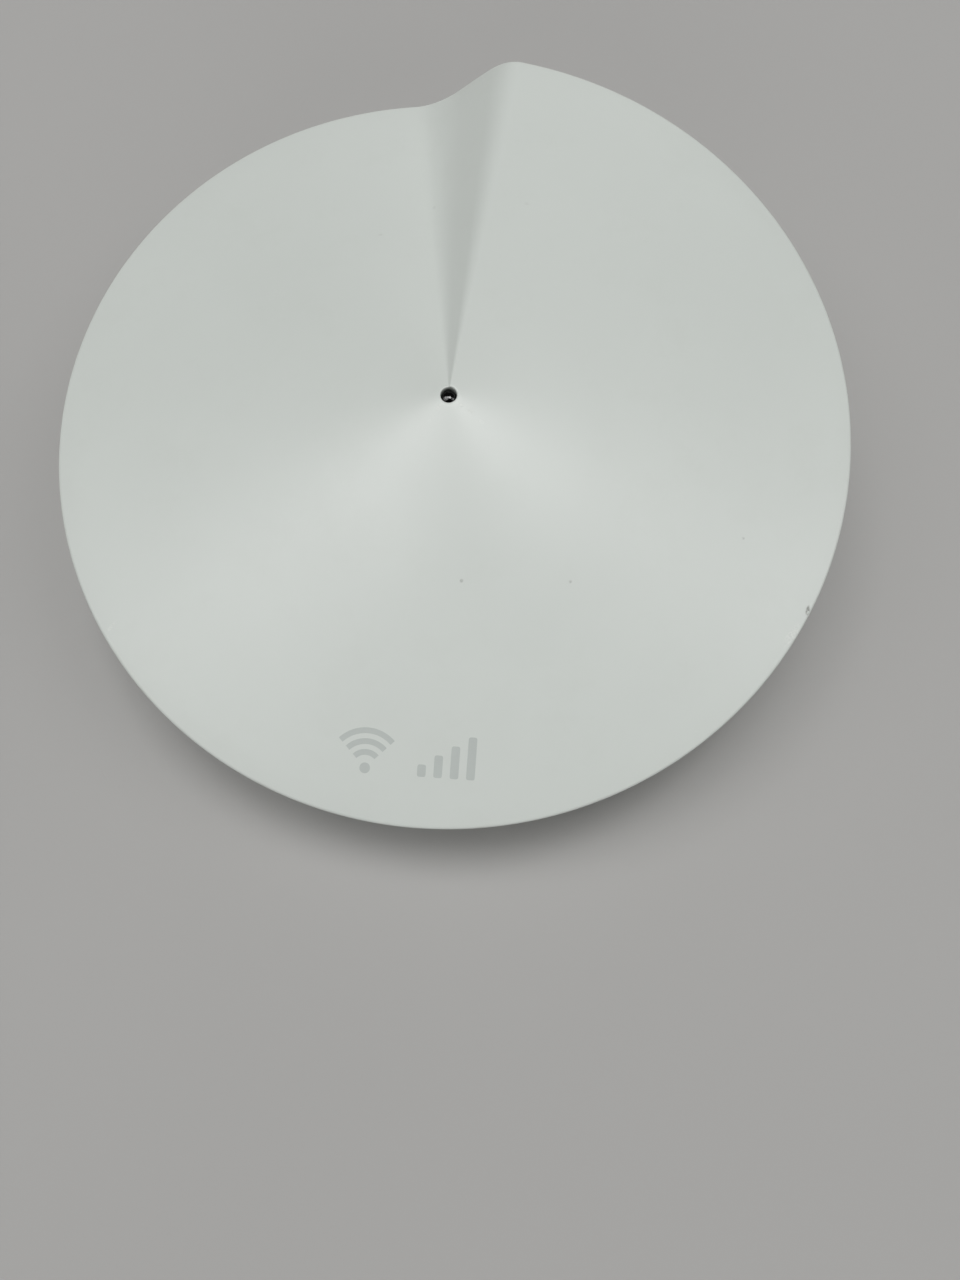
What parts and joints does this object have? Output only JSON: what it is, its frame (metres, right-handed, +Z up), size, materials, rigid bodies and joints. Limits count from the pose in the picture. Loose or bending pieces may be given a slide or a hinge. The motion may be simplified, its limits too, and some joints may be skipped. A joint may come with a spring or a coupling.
{
  "type": "mesh wifi node",
  "caption": "Round desktop mesh wifi node: a cone-shaped cover wound into a swirl with a step at the back, over a bowl base with network and power sockets.",
  "frame": {"origin": "on the table, under the centre of the disc", "axes": "+Z up; -Y is the front; +Y is the back, with the sockets under the step of the swirl; +X is to the right seen from the front"},
  "size_m": [0.1199, 0.12, 0.0378],
  "materials": {
    "cover_shell": "satin white moulded plastic, very fine spark texture",
    "base_shell": "satin white moulded plastic",
    "light_pipe": "smoked clear polycarbonate, polished",
    "black_plastic": "black moulded plastic",
    "foot_rubber": "grey silicone rubber",
    "label": "blank printed film label",
    "circuit_board": "green solder mask on glass laminate",
    "chip_package": "black moulded epoxy",
    "plated_steel": "tin or nickel plated steel",
    "gold_contact": "gold plated copper alloy",
    "sink_aluminium": "plain extruded aluminium",
    "thermal_pad": "soft silicone gap pad",
    "ferrite": "pressed ferrite",
    "led_package": "pale moulded package with clear top",
    "antenna_carrier": "natural white ABS",
    "coax_jacket": "dark grey fluoropolymer jacket"
  },
  "bodies": {
    "housing": {"top_cover": "cover_shell", "light_pipe": "light_pipe", "light_sleeve": "black_plastic", "status_led": "led_package", "base_shell": "base_shell", "foot_ring": "foot_rubber", "rating_plate": "label", "reset_switch": "plated_steel", "base_screw_1": "plated_steel", "base_screw_2": "plated_steel", "base_screw_3": "plated_steel", "base_screw_4": "plated_steel", "main_board": "circuit_board", "board_screw_1": "plated_steel", "board_screw_2": "plated_steel", "board_screw_3": "plated_steel", "lan_jack_1_housing": "black_plastic", "lan_jack_1_contacts": "gold_contact", "lan_jack_1_shield": "plated_steel", "lan_jack_2_housing": "black_plastic", "lan_jack_2_contacts": "gold_contact", "lan_jack_2_shield": "plated_steel", "usb_c_shell": "plated_steel", "usb_c_tongue": "black_plastic", "cpu_shield_can": "plated_steel", "thermal_pad_cpu": "thermal_pad", "radio_2g_shield_can": "plated_steel", "thermal_pad_radio_2g": "thermal_pad", "radio_5g_shield_can": "plated_steel", "thermal_pad_radio_5g": "thermal_pad", "processor_chip": "chip_package", "memory_chip": "chip_package", "radio_2g_chip": "chip_package", "radio_5g_chip": "chip_package", "flash_chip": "chip_package", "bluetooth_chip": "chip_package", "ethernet_switch_chip": "chip_package", "lan_transformer_1": "chip_package", "lan_transformer_2": "chip_package", "power_inductor": "ferrite", "bulk_capacitor_1": "sink_aluminium", "bulk_capacitor_2": "sink_aluminium", "heat_sink": "sink_aluminium", "heat_spreader": "sink_aluminium", "thermal_pad_lower": "thermal_pad", "heat_sink_screw_1": "plated_steel", "heat_sink_screw_2": "plated_steel", "antenna_carrier": "antenna_carrier", "wifi_antenna_1": "gold_contact", "antenna_lead_1": "coax_jacket", "wifi_antenna_2": "gold_contact", "antenna_lead_2": "coax_jacket", "wifi_antenna_3": "gold_contact", "antenna_lead_3": "coax_jacket", "wifi_antenna_4": "gold_contact", "antenna_lead_4": "coax_jacket", "bluetooth_antenna": "ferrite"},
    "reset_button": {"reset_button": "black_plastic"}
  },
  "joints": [
    {"name": "reset_press", "type": "slide", "parent": "housing", "child": "reset_button", "axis": [0, 0, 1], "range_m": [0, 0.0003], "stiffness_N_per_m": 1500}
  ]
}
